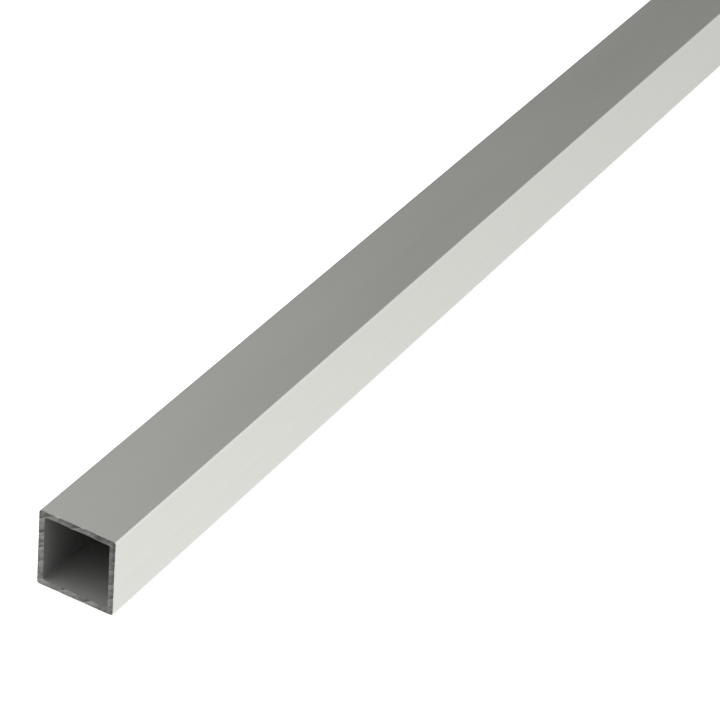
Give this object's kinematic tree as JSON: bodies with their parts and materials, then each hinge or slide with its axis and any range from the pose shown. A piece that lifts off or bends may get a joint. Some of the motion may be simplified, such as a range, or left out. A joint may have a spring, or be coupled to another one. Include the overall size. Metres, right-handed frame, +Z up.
{
  "type": "square metal tube",
  "caption": "Straight square tube of satin anodised aluminium, thin walled, open at both sawn ends: stock for frames, edging and light structures.",
  "frame": {"origin": "middle of the side that the tube lies on", "axes": "+X along the tube, from the end that faces the viewer in the picture to the far end; +Z up, out of the top side"},
  "size_m": [1, 0.02, 0.02],
  "materials": {
    "anodised_aluminium": "satin natural silver anodising over fine extrusion lines, bare saw-cut metal at both ends"
  },
  "bodies": {
    "root": {"square_tube": "anodised_aluminium"}
  },
  "joints": []
}
